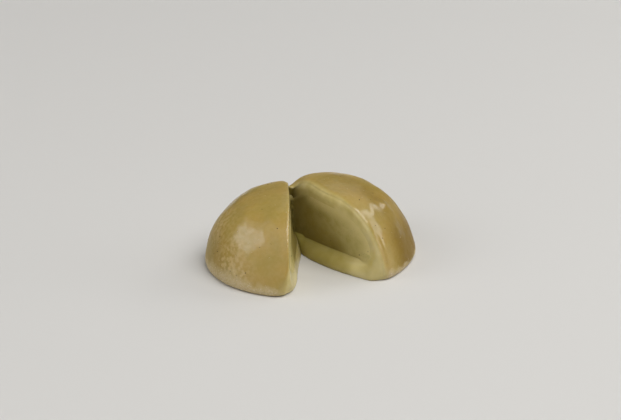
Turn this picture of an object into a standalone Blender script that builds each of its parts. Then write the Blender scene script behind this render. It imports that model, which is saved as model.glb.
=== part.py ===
"""Green tea rice cake: a dome of soft dough round a smooth paste, cut down from the front and opened.

Metres, +Z up. The closed cake is turned, hollowed and cut first. Then its two halves are swung apart
about the upright line where the knife stopped, so the gap between them opens towards -Y. The cake
lies on its flat base at Z = 0, with the origin in the middle of the opened cake's footprint.
"""

import math

import bmesh
import bpy
import numpy as np
from mathutils import Matrix, Vector

# The closed cake
HALF_LENGTH = 0.0280  # along the cut, Y
HALF_WIDTH = 0.0315  # across the cut, X
HEIGHT = 0.0261
SHOULDER = 3.05  # power of the radius in the dome's curve: higher is squarer
CROWN = 1.715  # power of the height in the dome's curve
OFF_CENTRE = 0.0022  # the dome's middle lies this far to the right of the cut
ROLL = 0.0024  # height of the rounded lower edge
TUCK = 0.0012  # how far the rounded lower edge draws in at the base

# The paste inside
SIDE_SKIN = 0.0048  # thickness of the dough at its sides
TOP_SKIN = 0.0034  # thickness of the dough at its top
BASE_SKIN = 0.0049  # thickness of the dough under the paste
BELLY = 0.0036  # height of the paste's widest place above its underside
PASTE_SHOULDER = 2.7
PASTE_CROWN = 1.9
FIT_GAP = 0.0003  # between dough and paste

# The cut
HINGE_BACK = 0.0132  # where the knife stopped on the base, behind the dome's middle
HINGE_SLOPE = 0.125  # how far that line leans back for each unit of height
SLIT = 0.0003  # width of the closed cut
RECESS = 0.0006  # how far the paste sits back from the cut
SPREAD = math.radians(24.3)  # each half turns this far
BEND = math.radians(120)  # the dough bends over this angle, measured from the back
LEFT_LEAN = -0.02  # each cut side leans by this share of its height: below 0 is towards the gap
RIGHT_LEAN = -0.17
LEAN_BACK = 0.0168  # the lean starts this far behind the dome's middle
LEAN_FADE = 0.0224  # and is whole after this distance
FOOT = 0.0021  # how far the thick base is squeezed out of the cut
RIGHT_BOW = 0.0027  # and how much further in the middle of the right side
FOOT_HEIGHT = 0.0056
FOOT_REACH = 0.0050  # the squeeze dies away over this distance from the cut
LIP = 0.0013  # the outer skin rounds over into the cut by this much
LEFT_CORNER = 0.0060  # and by this much at the base
RIGHT_CORNER = 0.0036
CORNER_HEIGHT = 0.0130
OUTSIDE = 0.0003  # the rounding moves all that lies less deep than this
INSIDE = 0.0023  # and nothing that lies deeper than this

# How finely it is made
STEPS = 56  # round the turned shapes
DOME_STEPS = 13
EDGE_STEPS = 4
FLAT_RINGS = 5
FOOT_LEVELS = 4
FOOT_STEPS = 8
FIRST_FOOT_STEP = 0.0018


def colour(red, green, blue):
    """A colour given as it looks on a screen, from 0 to 1, as the linear values that Blender takes."""
    return [c / 12.92 if c <= 0.04045 else ((c + 0.055) / 1.055) ** 2.4 for c in (red, green, blue)] + [1.0]


def material(name, base_colour, roughness):
    made = bpy.data.materials.new(name)
    made.use_nodes = True
    made.diffuse_color = base_colour
    shader = made.node_tree.nodes["Principled BSDF"]
    shader.inputs["Base Color"].default_value = base_colour
    shader.inputs["Roughness"].default_value = roughness
    shader.inputs["Metallic"].default_value = 0.0
    return made


def quarter(steps, side_power, height_power):
    """A quarter of a rounded outline, in shares of radius and height, from top to widest place."""
    points = []
    for step in range(steps + 1):
        angle = 0.5 * math.pi * step / steps
        radius, height = math.sin(angle), abs(math.cos(angle))
        points.append((radius ** (2 / side_power), height ** (2 / height_power)))
    return points


def dome_radius(height):
    """The closed cake's radius along the cut at these heights, with its lower edge rolled in."""
    widest = (1 - (ROLL / HEIGHT) ** CROWN) ** (1 / SHOULDER) * HALF_LENGTH
    down = np.clip(1 - height / ROLL, 0, 1)
    edge = widest - TUCK * (1 - np.sqrt(1 - down * down))
    above = (1 - np.clip(height / HEIGHT, 0, 1) ** CROWN) ** (1 / SHOULDER) * HALF_LENGTH
    return np.where(height < ROLL, edge, above)


def dome_profile():
    """The closed cake's outline as (radius, height), from the top down to the base's middle."""
    points = []
    for radius, height in quarter(DOME_STEPS, SHOULDER, CROWN):
        if height * HEIGHT > ROLL:
            points.append((radius * HALF_LENGTH, height * HEIGHT))
    for step in range(EDGE_STEPS + 1):
        height = ROLL * (1 - math.sin(0.5 * math.pi * step / EDGE_STEPS))
        points.append((float(dome_radius(height)), height))
    return points + flat_rings(points[-1])


def paste_profile(grown):
    """The paste's outline, made larger all round by grown, from its top down to its underside's middle."""
    radius_out = HALF_LENGTH - SIDE_SKIN + grown
    belly_height = BASE_SKIN + BELLY
    top = HEIGHT - TOP_SKIN + grown
    underside = BASE_SKIN - grown
    points = []
    for radius, height in quarter(DOME_STEPS, PASTE_SHOULDER, PASTE_CROWN):
        points.append((radius * radius_out, belly_height + height * (top - belly_height)))
    for radius, height in reversed(quarter(EDGE_STEPS, 6.0, 2.0)[1:-1]):
        points.append((radius * radius_out, belly_height - height * (belly_height - underside)))
    flat_edge = points[-1][0] - BELLY / EDGE_STEPS
    points.append((flat_edge, underside))
    return points + flat_rings(points[-1])


def flat_rings(edge):
    """Points along a flat underside, from its edge in to the axis."""
    radius, height = edge
    return [(radius * (1 - ring / FLAT_RINGS), height) for ring in range(1, FLAT_RINGS + 1)]


def turned(name, profile, across):
    """A closed solid from an outline turned about Z, then made wider across the cut and moved off centre."""
    mesh = bpy.data.meshes.new(name + "_outline")
    points = [(radius, 0.0, height) for radius, height in profile]
    mesh.from_pydata(points, [(i, i + 1) for i in range(len(points) - 1)], [])
    outline = bpy.data.objects.new(name + "_outline", mesh)
    bpy.context.scene.collection.objects.link(outline)
    screw = outline.modifiers.new("turn", "SCREW")
    screw.steps = STEPS
    screw.render_steps = STEPS
    screw.use_merge_vertices = True
    screw.merge_threshold = 0.00001
    solid = applied(outline, name)
    solid.data.transform(Matrix.Translation((OFF_CENTRE, 0, 0)) @ Matrix.Diagonal((across, 1, 1, 1)))
    return solid


def applied(source, name):
    """A plain mesh object of what the source's modifiers make. The source is removed."""
    bpy.context.view_layer.update()
    graph = bpy.context.evaluated_depsgraph_get()
    mesh = bpy.data.meshes.new_from_object(source.evaluated_get(graph))
    mesh.name = name
    old_mesh = source.data
    bpy.data.objects.remove(source)
    bpy.data.meshes.remove(old_mesh)
    made = bpy.data.objects.new(name, mesh)
    bpy.context.scene.collection.objects.link(made)
    return made


def knife(name, thickness):
    """A thin upright plate from in front of the cake to the slanting line where the cut ends."""
    bpy.ops.mesh.primitive_cube_add(size=1.0)
    blade = bpy.context.object
    blade.name = name
    low, high = -0.2 * HEIGHT, 1.2 * HEIGHT
    for vertex in blade.data.vertices:
        height = high if vertex.co.z > 0 else low
        back = HINGE_BACK + HINGE_SLOPE * height
        depth = back if vertex.co.y > 0 else -1.3 * HALF_LENGTH
        vertex.co = (math.copysign(0.5 * thickness, vertex.co.x), depth, height)
    return blade


def cut(obj, cutter):
    taken = obj.modifiers.new("take away " + cutter.name, "BOOLEAN")
    taken.operation = "DIFFERENCE"
    taken.solver = "EXACT"
    taken.object = cutter


def split(body, faces, point, normal):
    """Runs a row of new vertices through these faces, where the plane crosses them."""
    edges = dict.fromkeys(edge for face in faces for edge in face.edges)
    verts = dict.fromkeys(vert for face in faces for vert in face.verts)
    geometry = faces + list(edges) + list(verts)
    bmesh.ops.bisect_plane(body, geom=geometry, dist=1e-6, plane_co=point, plane_no=normal)


def in_foot(face):
    """Whether a face lies in the thick base beside the cut."""
    beside = min(abs(vert.co.x) for vert in face.verts) < FOOT_REACH
    return beside and min(vert.co.z for vert in face.verts) < FOOT_HEIGHT


def on_skin(face):
    """Whether a face is part of the dough's outer surface."""
    points = np.array([vert.co[:] for vert in face.verts])
    return bool((skin_depth(points) < OUTSIDE).all())


def refine_foot(body):
    """Rows of vertices in the thick base beside the cut, closer together near the hinge."""
    for level in range(1, FOOT_LEVELS):
        height = FOOT_HEIGHT * level / FOOT_LEVELS
        split(body, list(filter(in_foot, body.faces)), (0, 0, height), (0, 0, 1))
    for step in range(FOOT_STEPS):
        back = HINGE_BACK - FIRST_FOOT_STEP * step**1.5
        split(body, list(filter(in_foot, body.faces)), (0, back, 0), (0, 1, 0))


def refine_lips(body):
    """Rows of vertices in the outer surface along both sides of the cut, for its rounding."""
    for corner in (-LEFT_CORNER, RIGHT_CORNER):
        lip = math.copysign(LIP, corner)
        for across in (0.35 * lip, lip, 0.5 * corner, corner):
            split(body, list(filter(on_skin, body.faces)), (across, 0, 0), (1, 0, 0))


def refined(solid, is_dough):
    """Makes the solid's faces triangles, after adding the vertices that its cut edges need."""
    body = bmesh.new()
    body.from_mesh(solid.data)
    if is_dough:
        refine_foot(body)
        refine_lips(body)
    bmesh.ops.triangulate(body, faces=body.faces[:])
    body.to_mesh(solid.data)
    body.free()


def smooth(share):
    share = np.clip(share, 0.0, 1.0)
    return share * share * (3 - 2 * share)


def skin_depth(points):
    """Roughly how far points of the closed cake lie inside its outer surface."""
    x, y, z = points.T
    radius = np.hypot((x - OFF_CENTRE) * HALF_LENGTH / HALF_WIDTH, y)
    share = radius / HALF_LENGTH
    level = np.clip(z / HEIGHT, 0, 1)
    steep = SHOULDER * share ** (SHOULDER - 1) / HALF_LENGTH
    flat = CROWN * level ** (CROWN - 1) / HEIGHT
    in_dome = (1 - share**SHOULDER - level**CROWN) / np.maximum(np.hypot(steep, flat), 1.0)
    return np.where(z < ROLL, dome_radius(z) - radius, in_dome)


def rounded(points):
    """Draws the outer surface in beside the cut, so that it rounds over into the cut's sides."""
    x, y, z = points.T
    corner = np.where(x < 0, LEFT_CORNER, RIGHT_CORNER)
    size = LIP + (corner - LIP) * np.clip(1 - z / CORNER_HEIGHT, 0, 1) ** 2
    from_cut = np.hypot(x, np.clip(y - HINGE_BACK - HINGE_SLOPE * z, 0, None))
    near = np.clip(1 - from_cut / size, 0, 1)
    drawn = size * (1 - np.sqrt(1 - near * near))
    drawn *= 1 - smooth((skin_depth(points) - OUTSIDE) / (INSIDE - OUTSIDE))
    inward = np.stack([np.zeros_like(x), -y / HALF_LENGTH**2, -z / HEIGHT**2], axis=1)
    inward /= np.maximum(np.linalg.norm(inward, axis=1), 1e-9)[:, None]
    return points + inward * drawn[:, None]


def opened(points, is_dough):
    """Where points of the closed cake lie after its halves swing apart about the line where the cut ends."""
    x, y, z = (rounded(points) if is_dough else points).T
    side = np.where(x < 0, -1.0, 1.0)
    hinge = HINGE_BACK + HINGE_SLOPE * z
    reach = np.hypot(x, y - hinge)
    angle = np.arctan2(np.abs(x), y - hinge)  # 0 straight back, half a turn at the cut
    angle -= SPREAD * smooth(angle / BEND)
    across = side * reach * np.sin(angle)
    along = hinge + reach * np.cos(angle)
    lean = np.where(side < 0, LEFT_LEAN, RIGHT_LEAN) * z * smooth((LEAN_BACK - y) / LEAN_FADE)
    if is_dough:
        ahead = np.clip(hinge - y, 0, None)
        bow = np.where(side < 0, 0, RIGHT_BOW) * np.sin(math.pi * ahead / (HINGE_BACK + HALF_LENGTH))
        foot = FOOT + bow
        rise = np.sqrt(1 - np.clip(z / FOOT_HEIGHT, 0, 1) ** 2)
        kept_open = 1 - np.exp(-ahead * math.tan(SPREAD) / foot)
        lean -= foot * rise * kept_open * np.exp(-((np.abs(x) / FOOT_REACH) ** 2))
    across += side * math.cos(SPREAD) * lean
    along += math.sin(SPREAD) * lean
    return np.stack([across, along, z], axis=1)


def open_up(solid, is_dough):
    points = np.empty(3 * len(solid.data.vertices))
    solid.data.vertices.foreach_get("co", points)
    solid.data.vertices.foreach_set("co", opened(points.reshape(-1, 3), is_dough).ravel())
    solid.data.update()


def finish(solid, finish_material):
    solid.data.materials.clear()
    solid.data.materials.append(finish_material)
    solid.data.shade_smooth()
    solid.data.set_sharp_from_angle(angle=math.radians(40))


def to_footprint_middle(solids, outer):
    points = np.array([vertex.co[:] for vertex in outer.data.vertices])
    middle = 0.5 * (points.min(axis=0) + points.max(axis=0))
    for solid in solids:
        solid.data.transform(Matrix.Translation((-middle[0], -middle[1], 0)))


def into_collection(name, objects, helper=False):
    collection = bpy.data.collections.new(name)
    bpy.context.scene.collection.children.link(collection)
    collection.hide_render = helper
    for obj in objects:
        for old in list(obj.users_collection):
            old.objects.unlink(obj)
        collection.objects.link(obj)
        if helper:
            obj.hide_render = True
            obj.display_type = "WIRE"


def main():
    for obj in list(bpy.data.objects):
        bpy.data.objects.remove(obj)

    across = HALF_WIDTH / HALF_LENGTH
    whole = turned("whole_cake", dome_profile(), across)
    paste_across = (HALF_WIDTH - SIDE_SKIN) / (HALF_LENGTH - SIDE_SKIN)
    hollow = turned("hollow", paste_profile(FIT_GAP), paste_across)
    whole_paste = turned("whole_paste", paste_profile(0.0), paste_across)
    thin_knife = knife("thin_knife", SLIT)
    thick_knife = knife("thick_knife", SLIT + 2 * RECESS)

    cut(whole, hollow)
    cut(whole, thin_knife)
    dough = applied(whole, "dough")
    cut(whole_paste, thick_knife)
    filling = applied(whole_paste, "filling")

    refined(dough, is_dough=True)
    refined(filling, is_dough=False)
    open_up(dough, is_dough=True)
    open_up(filling, is_dough=False)
    to_footprint_middle([dough, filling], dough)

    finish(dough, material("rice_dough", colour(0.66, 0.56, 0.30), 0.35))
    finish(filling, material("green_tea_paste", colour(0.55, 0.50, 0.29), 0.70))
    into_collection("green_tea_rice_cake", [dough, filling])
    into_collection("cutters", [hollow, thin_knife, thick_knife], helper=True)


main()
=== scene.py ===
# %% [markdown]
# # A green tea rice cake, cut and opened
#
# The real cake is a ball of sweet green tea and bean paste, wrapped in a soft skin of pounded rice
# dough. It has settled into a low dome. A knife came down from the front and stopped before the
# back, and the two halves were opened like a book. This lesson makes four pieces:
#
# * the dough, one soft body with a hollow in it,
# * the filling, which shows on both sides of the opening,
# * the starch that clings round the foot of the dough, grain by grain,
# * the flecks of tea leaf in the dough and the filling.
#
# The measured cake comes first, as a fixed frame. Every piece is made at its true size, in metres,
# and in the same place as the measured one.

# %% Load the measured cake
import math

import bmesh
import bpy
import numpy as np
from mathutils import Matrix, Vector, noise


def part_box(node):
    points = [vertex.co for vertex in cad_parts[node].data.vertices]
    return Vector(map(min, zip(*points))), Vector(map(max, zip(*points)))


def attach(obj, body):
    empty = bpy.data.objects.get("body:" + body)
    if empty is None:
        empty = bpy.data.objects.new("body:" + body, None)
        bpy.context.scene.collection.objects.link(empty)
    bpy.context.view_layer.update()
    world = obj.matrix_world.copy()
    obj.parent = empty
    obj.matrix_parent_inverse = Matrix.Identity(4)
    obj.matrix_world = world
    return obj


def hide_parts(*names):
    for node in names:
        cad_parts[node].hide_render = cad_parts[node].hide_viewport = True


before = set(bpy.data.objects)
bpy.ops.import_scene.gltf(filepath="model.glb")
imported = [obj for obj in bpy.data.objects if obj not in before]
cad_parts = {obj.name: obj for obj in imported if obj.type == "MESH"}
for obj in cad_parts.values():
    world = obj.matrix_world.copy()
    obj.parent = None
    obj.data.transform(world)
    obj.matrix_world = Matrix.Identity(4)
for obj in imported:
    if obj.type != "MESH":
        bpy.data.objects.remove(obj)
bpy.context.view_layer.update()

dough_low, dough_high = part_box("dough")
print("measured cake, mm:", [round(1000 * side, 1) for side in dough_high - dough_low])

# %% [markdown]
# ## The cake before it is cut
#
# Dough that is rounded between two hands and set down keeps a round outline, and its side is fuller
# than half an ellipse would be. Two powers describe that outline: a higher shoulder power makes it
# squarer, and a lower crown power makes the top more pointed. The lowest edge rolls in a little, where
# the dough rests. The paste inside follows the same kind of rule, with other sizes.

# %% Sizes of the closed cake
HALF_LENGTH = 0.0280  # along the cut, Y
HALF_WIDTH = 0.0315  # across the cut, X
HEIGHT = 0.0261
SHOULDER = 3.05
CROWN = 1.715
OFF_CENTRE = 0.0022  # the dome's middle lies this far to the right of the cut
ROLL = 0.0024  # height of the rounded lower edge
TUCK = 0.0012  # how far that edge draws in at the base

SIDE_SKIN = 0.0048  # thickness of the dough at its sides
TOP_SKIN = 0.0034
BASE_SKIN = 0.0049
BELLY = 0.0036  # height of the paste's widest place above its underside
PASTE_SHOULDER = 2.7
PASTE_CROWN = 1.9
PASTE_TUCK = 0.0060

print("closed cake, mm:", 2000 * HALF_LENGTH, "long,", 2000 * HALF_WIDTH, "wide,", 1000 * HEIGHT, "high")

# %% [markdown]
# ## A small kit for node trees
#
# Geometry Nodes and materials are both made of nodes that are joined socket to socket. Two short
# helpers keep the recipes below readable. The first adds a node, sets its options, and fills its
# inputs. Where it is given another node's output instead of a value, it draws the link. The second
# does the same for one sum.

# %% Helpers for nodes
def add_node(tree, kind, values=None, **options):
    made = tree.nodes.new(kind)
    for option, setting in options.items():
        setattr(made, option, setting)
    for socket, value in (values or {}).items():
        if isinstance(value, bpy.types.NodeSocket):
            tree.links.new(value, made.inputs[socket])
        else:
            made.inputs[socket].default_value = value
    return made


def sum_of(tree, operation, *values):
    return add_node(tree, "ShaderNodeMath", dict(enumerate(values)), operation=operation).outputs[0]


def geometry_tree(name, inputs):
    """An empty Geometry Nodes tree with named inputs, given as {name: (socket kind, value)}."""
    tree = bpy.data.node_groups.new(name, "GeometryNodeTree")
    tree.interface.new_socket("Geometry", in_out="INPUT", socket_type="NodeSocketGeometry")
    tree.interface.new_socket("Geometry", in_out="OUTPUT", socket_type="NodeSocketGeometry")
    for label, (kind, value) in inputs.items():
        socket = tree.interface.new_socket(label, in_out="INPUT", socket_type="NodeSocket" + kind)
        if value is not None:
            socket.default_value = value
    return tree, tree.nodes.new("NodeGroupInput"), tree.nodes.new("NodeGroupOutput")


def with_tree(obj, tree, **inputs):
    """Puts the tree on the object and sets its inputs, each by its socket's identifier."""
    modifier = obj.modifiers.new(tree.name, "NODES")
    modifier.node_group = tree
    for socket in tree.interface.items_tree:
        label = socket.name.lower().replace(" ", "_")
        if socket.in_out == "INPUT" and label in inputs:
            modifier[socket.identifier] = inputs.pop(label)
    assert not inputs, f"the tree has no inputs named {list(inputs)}"
    return obj


def plain_mesh(source, name):
    """A new object with the mesh that the source's modifiers make. The source is removed."""
    bpy.context.view_layer.update()
    graph = bpy.context.evaluated_depsgraph_get()
    mesh = bpy.data.meshes.new_from_object(source.evaluated_get(graph))
    mesh.name = name
    bpy.data.objects.remove(source)
    return new_object(name, mesh)


def new_object(name, mesh):
    made = bpy.data.objects.new(name, mesh)
    bpy.context.scene.collection.objects.link(made)
    return made


# %% [markdown]
# ## Turning the dome
#
# A dome that follows a rule is a good job for Geometry Nodes: the tree holds the rule once, and its
# inputs hold the sizes. It starts from a flat grid. One way along the grid becomes a whole turn
# round the middle. The other way runs from the top of the dome down its side, round the rolled edge,
# and in along the flat underside. The same tree makes the whole cake, the hollow and the paste.

# %% The tree that turns a body from its outline
DOME_SHARE = 0.70  # of the rows, how many lie on the dome
EDGE_SHARE = 0.14  # and how many on the rolled edge below it


def turned_body_tree():
    tree, given, result = geometry_tree(
        "turned body",
        {
            "Half Length": ("Float", HALF_LENGTH),
            "Across": ("Float", 1.0),
            "Off Centre": ("Float", OFF_CENTRE),
            "Middle Height": ("Float", 0.0),
            "Top": ("Float", HEIGHT),
            "Shoulder": ("Float", SHOULDER),
            "Crown": ("Float", CROWN),
            "Edge Height": ("Float", ROLL),
            "Underside": ("Float", 0.0),
            "Tuck": ("Float", TUCK),
            "Columns": ("Int", 181),
            "Rows": ("Int", 90),
            "Material": ("Material", None),
        },
    )
    size = given.outputs

    def do(operation, *values):
        return sum_of(tree, operation, *values)

    grid = add_node(tree, "GeometryNodeMeshGrid", {0: 1.0, 1: 1.0, 2: size["Columns"], 3: size["Rows"]})
    place = add_node(tree, "GeometryNodeInputPosition")
    flat = add_node(tree, "ShaderNodeSeparateXYZ", {0: place.outputs[0]})
    turn = do("MULTIPLY", do("ADD", flat.outputs["X"], 0.5), 2 * math.pi)
    down = do("ADD", flat.outputs["Y"], 0.5)

    def share(start, end):
        """0 before the start row, 1 after the end row, and even between them."""
        values = {"Value": down, "From Min": start, "From Max": end}
        return add_node(tree, "ShaderNodeMapRange", values, clamp=True).outputs[0]

    rise = do("SUBTRACT", size["Top"], size["Middle Height"])
    edge_level = do("DIVIDE", do("SUBTRACT", size["Edge Height"], size["Middle Height"]), rise)
    last_angle = do("ARCCOSINE", do("POWER", edge_level, do("DIVIDE", size["Crown"], 2.0)))
    dome_angle = do("MULTIPLY", share(0.0, DOME_SHARE), last_angle)
    edge_angle = do("MULTIPLY", share(DOME_SHARE, DOME_SHARE + EDGE_SHARE), 0.5 * math.pi)

    dome_out = do("POWER", do("SINE", dome_angle), do("DIVIDE", 2.0, size["Shoulder"]))
    dome_up = do("POWER", do("COSINE", dome_angle), do("DIVIDE", 2.0, size["Crown"]))
    tucked = do("MULTIPLY", size["Tuck"], do("SUBTRACT", 1.0, do("COSINE", edge_angle)))
    dropped = do("MULTIPLY", do("SUBTRACT", size["Edge Height"], size["Underside"]), do("SINE", edge_angle))
    radius = do("SUBTRACT", do("MULTIPLY", dome_out, size["Half Length"]), tucked)
    radius = do("MULTIPLY", radius, do("SUBTRACT", 1.0, share(DOME_SHARE + EDGE_SHARE, 1.0)))
    height = do("SUBTRACT", do("MULTIPLY_ADD", dome_up, rise, size["Middle Height"]), dropped)

    across = do("MULTIPLY", do("MULTIPLY", radius, size["Across"]), do("COSINE", turn))
    across = do("ADD", across, size["Off Centre"])
    along = do("MULTIPLY", radius, do("SINE", turn))
    point = add_node(tree, "ShaderNodeCombineXYZ", {"X": across, "Y": along, "Z": height}).outputs[0]
    shaped = add_node(tree, "GeometryNodeSetPosition", {"Geometry": grid.outputs[0], "Position": point})
    closed = add_node(tree, "GeometryNodeMergeByDistance", {"Geometry": shaped.outputs[0], "Distance": 2e-6})
    outward = add_node(tree, "GeometryNodeFlipFaces", {"Mesh": closed.outputs[0]})
    real = add_node(tree, "GeometryNodeRealizeInstances", {"Geometry": outward.outputs[0]})
    painted = add_node(
        tree, "GeometryNodeSetMaterial", {"Geometry": real.outputs[0], "Material": size["Material"]}
    )
    tree.links.new(painted.outputs[0], result.inputs[0])
    return tree


turned_body = turned_body_tree()
print("the tree that turns a body has", len(turned_body.nodes), "nodes")


# %% Turn the whole cake, its hollow and its paste
OVERLAP = 0.0030  # the dough reaches this far into the paste, so no air shows between them


def turned(name, **sizes):
    start = new_object(name + "_start", bpy.data.meshes.new(name + "_start"))
    return plain_mesh(with_tree(start, turned_body, **sizes), name)


def paste_sizes(grown):
    """Inputs of the tree for the paste, made larger all round by this much."""
    return {
        "half_length": HALF_LENGTH - SIDE_SKIN + grown,
        "across": (HALF_WIDTH - SIDE_SKIN) / (HALF_LENGTH - SIDE_SKIN),
        "middle_height": BASE_SKIN + BELLY,
        "top": HEIGHT - TOP_SKIN + grown,
        "shoulder": PASTE_SHOULDER,
        "crown": PASTE_CROWN,
        "edge_height": BASE_SKIN + BELLY,
        "underside": BASE_SKIN - grown,
        "tuck": PASTE_TUCK,
    }


whole_cake = turned("whole_cake", across=HALF_WIDTH / HALF_LENGTH)
hollow = turned("hollow", **paste_sizes(-OVERLAP))
whole_paste = turned("whole_paste", **paste_sizes(0.0))
for body in (whole_cake, hollow, whole_paste):
    sides = [round(1000 * side, 2) for side in body.dimensions]
    print(body.name, sides, "mm,", len(body.data.polygons), "faces")

# %% [markdown]
# ## The cut
#
# The knife is a thin plate. It reaches from in front of the cake back to a line that leans a little,
# where it stopped. Booleans take the hollow and the knife's plate out of the dough, and the plate out
# of the paste. The paste is soft and a little under pressure, so its face bulges by a hair before the
# dough's face.

# %% Cut both bodies
HINGE_BACK = 0.0132  # where the knife stopped on the base, behind the dome's middle
HINGE_SLOPE = 0.125  # how far that line leans back for each unit of height
SLIT = 0.0003
PASTE_SLIT = 0.0001


def knife(name, thickness):
    low, high = -0.2 * HEIGHT, 1.2 * HEIGHT
    corners = []
    for height in (low, high):
        for depth in (-1.3 * HALF_LENGTH, HINGE_BACK + HINGE_SLOPE * height):
            corners += [(-0.5 * thickness, depth, height), (0.5 * thickness, depth, height)]
    faces = [(0, 2, 3, 1), (4, 5, 7, 6), (0, 1, 5, 4), (2, 6, 7, 3), (0, 4, 6, 2), (1, 3, 7, 5)]
    mesh = bpy.data.meshes.new(name)
    mesh.from_pydata(corners, [], faces)
    return new_object(name, mesh)


def cut_from(body, name, *cutters):
    for cutter in cutters:
        taken = body.modifiers.new("take away " + cutter.name, "BOOLEAN")
        taken.operation = "DIFFERENCE"
        taken.solver = "EXACT"
        taken.object = cutter
    return plain_mesh(body, name)


dough_knife = knife("dough_knife", SLIT)
paste_knife = knife("paste_knife", PASTE_SLIT)
dough = cut_from(whole_cake, "rice_dough", hollow, dough_knife)
filling = cut_from(whole_paste, "green_tea_paste", paste_knife)
for helper in (hollow, dough_knife, paste_knife):
    bpy.data.objects.remove(helper)
print("cut dough:", len(dough.data.polygons), "faces, cut paste:", len(filling.data.polygons), "faces")

# %% [markdown]
# ## Opening the halves
#
# Both halves swing apart about the line where the knife stopped. Behind that line the dough isn't
# cut, so it bends: the turn fades from its full angle at the cut to nothing straight back. Seen from
# above this is a change of angle only, so it also runs backwards. That is useful, because the cut
# solids have long thin faces, and soft dough needs small even ones. So each body is swung open, made
# again of even faces, and measured back to where each point was in the closed cake. After that any
# shape can be given by a point's place in the closed cake.

# %% Swing open, and back
SPREAD = math.radians(24.3)  # each half turns this far
BEND = math.radians(120)  # the dough bends over this angle, measured from the back

closed_angles = np.linspace(0.0, math.pi + 0.4, 4000)  # a little past the cut, for points that lie over it


def smooth(share):
    share = np.clip(share, 0.0, 1.0)
    return share * share * (3 - 2 * share)


def ramp(values, start, end):
    """0 up to the start, 1 from the end on, smooth between them. It falls if the end is the lower one."""
    return smooth((values - start) / (end - start))


opened_angles = closed_angles - SPREAD * smooth(closed_angles / BEND)


def swung(points, angles_from, angles_to):
    """Turns points about the hinge line: each angle in the first list becomes the one in the second."""
    x, y, z = points.T
    hinge = HINGE_BACK + HINGE_SLOPE * z
    reach = np.hypot(x, y - hinge)
    angle = np.interp(np.arctan2(np.abs(x), y - hinge), angles_from, angles_to)
    return np.stack([np.sign(x) * reach * np.sin(angle), hinge + reach * np.cos(angle), z], axis=1)


def points_of(obj):
    points = np.empty(3 * len(obj.data.vertices))
    obj.data.vertices.foreach_get("co", points)
    return points.reshape(-1, 3)


def move_to(obj, points):
    obj.data.vertices.foreach_set("co", points.ravel())
    obj.data.update()


def even_faces(obj, size, rounds):
    """The same body made of even faces of this size, with its sharp edges softened."""
    name = obj.name
    remesh = obj.modifiers.new("even faces", "REMESH")
    remesh.mode = "VOXEL"
    remesh.voxel_size = size
    relax = obj.modifiers.new("soften", "SMOOTH")
    relax.factor = 0.5
    relax.iterations = rounds
    return plain_mesh(obj, name)


FACE_SIZE = 0.00042
move_to(dough, swung(points_of(dough), closed_angles, opened_angles))
move_to(filling, swung(points_of(filling), closed_angles, opened_angles))
dough = even_faces(dough, FACE_SIZE, rounds=4)
filling = even_faces(filling, FACE_SIZE, rounds=4)
dough_closed = swung(points_of(dough), opened_angles, closed_angles)
filling_closed = swung(points_of(filling), opened_angles, closed_angles)
print("dough:", len(dough.data.polygons), "even faces, filling:", len(filling.data.polygons))

# %% [markdown]
# ## What the knife does to soft dough
#
# Three things happen beside the cut. The blade carries the outer skin down with it, so the skin
# rounds over into the cut. The thick base is pressed out into the opening as a rounded foot, and near
# the end of the cut the feet of both halves meet as a web. And the cut sides lean over the opening,
# the right one more than the left. Each is a smooth push that depends on how far a point lies from
# the cut, how high it is, and how deep it is under the skin.

# %% How deep a point lies under the skin
OUTSIDE = 0.0003  # what lies less deep than this belongs to the outer skin


def dome_radius(height):
    """The closed cake's radius along the cut at these heights."""
    widest = (1 - (ROLL / HEIGHT) ** CROWN) ** (1 / SHOULDER) * HALF_LENGTH
    down = np.clip(1 - height / ROLL, 0, 1)
    edge = widest - TUCK * (1 - np.sqrt(1 - down * down))
    above = (1 - np.clip(height / HEIGHT, 0, 1) ** CROWN) ** (1 / SHOULDER) * HALF_LENGTH
    return np.where(height < ROLL, edge, above)


def depth_in(points, long, wide, low, high, shoulder, crown):
    """How deep points lie in a dome with this outline, measured straight in from its skin."""
    x, y, z = points.T
    share = np.hypot((x - OFF_CENTRE) / wide, y / long)
    level = np.clip((z - low) / (high - low), 0, 1)
    steep = shoulder * share ** (shoulder - 1) / long
    flat = crown * level ** (crown - 1) / (high - low)
    return (1 - share**shoulder - level**crown) / np.maximum(np.hypot(steep, flat), 1.0)


def skin_depth(points):
    """The same for the cake's own outline, with its rolled edge."""
    x, y, z = points.T
    radius = np.hypot((x - OFF_CENTRE) * HALF_LENGTH / HALF_WIDTH, y)
    in_dome = depth_in(points, HALF_LENGTH, HALF_WIDTH, 0, HEIGHT, SHOULDER, CROWN)
    return np.where(z < ROLL, dome_radius(z) - radius, in_dome)


def paste_depth(points):
    low, long, wide = BASE_SKIN + BELLY, HALF_LENGTH - SIDE_SKIN, HALF_WIDTH - SIDE_SKIN
    in_upper = depth_in(points, long, wide, low, HEIGHT - TOP_SKIN, PASTE_SHOULDER, PASTE_CROWN)
    return np.where(points[:, 2] > low, in_upper, 1.0)  # only its upper edge blends with the dough


def out_of_skin(points):
    """The direction straight out through the nearest skin."""
    x, y, z = points.T
    wide, long = (x - OFF_CENTRE) / HALF_WIDTH**2, y / HALF_LENGTH**2
    share = np.maximum(np.hypot((x - OFF_CENTRE) / HALF_WIDTH, y / HALF_LENGTH), 1e-6)
    side = SHOULDER * share ** (SHOULDER - 2)
    up = CROWN * np.clip(z / HEIGHT, 0, 1) ** (CROWN - 1) / HEIGHT
    direction = np.stack([side * wide, side * long, up], axis=1)
    return direction / np.maximum(np.linalg.norm(direction, axis=1), 1e-9)[:, None]


def ahead_of_hinge(points):
    """How far a point lies in front of the line where the cut ends: below 0 behind it."""
    return HINGE_BACK + HINGE_SLOPE * points[:, 2] - points[:, 1]


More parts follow.
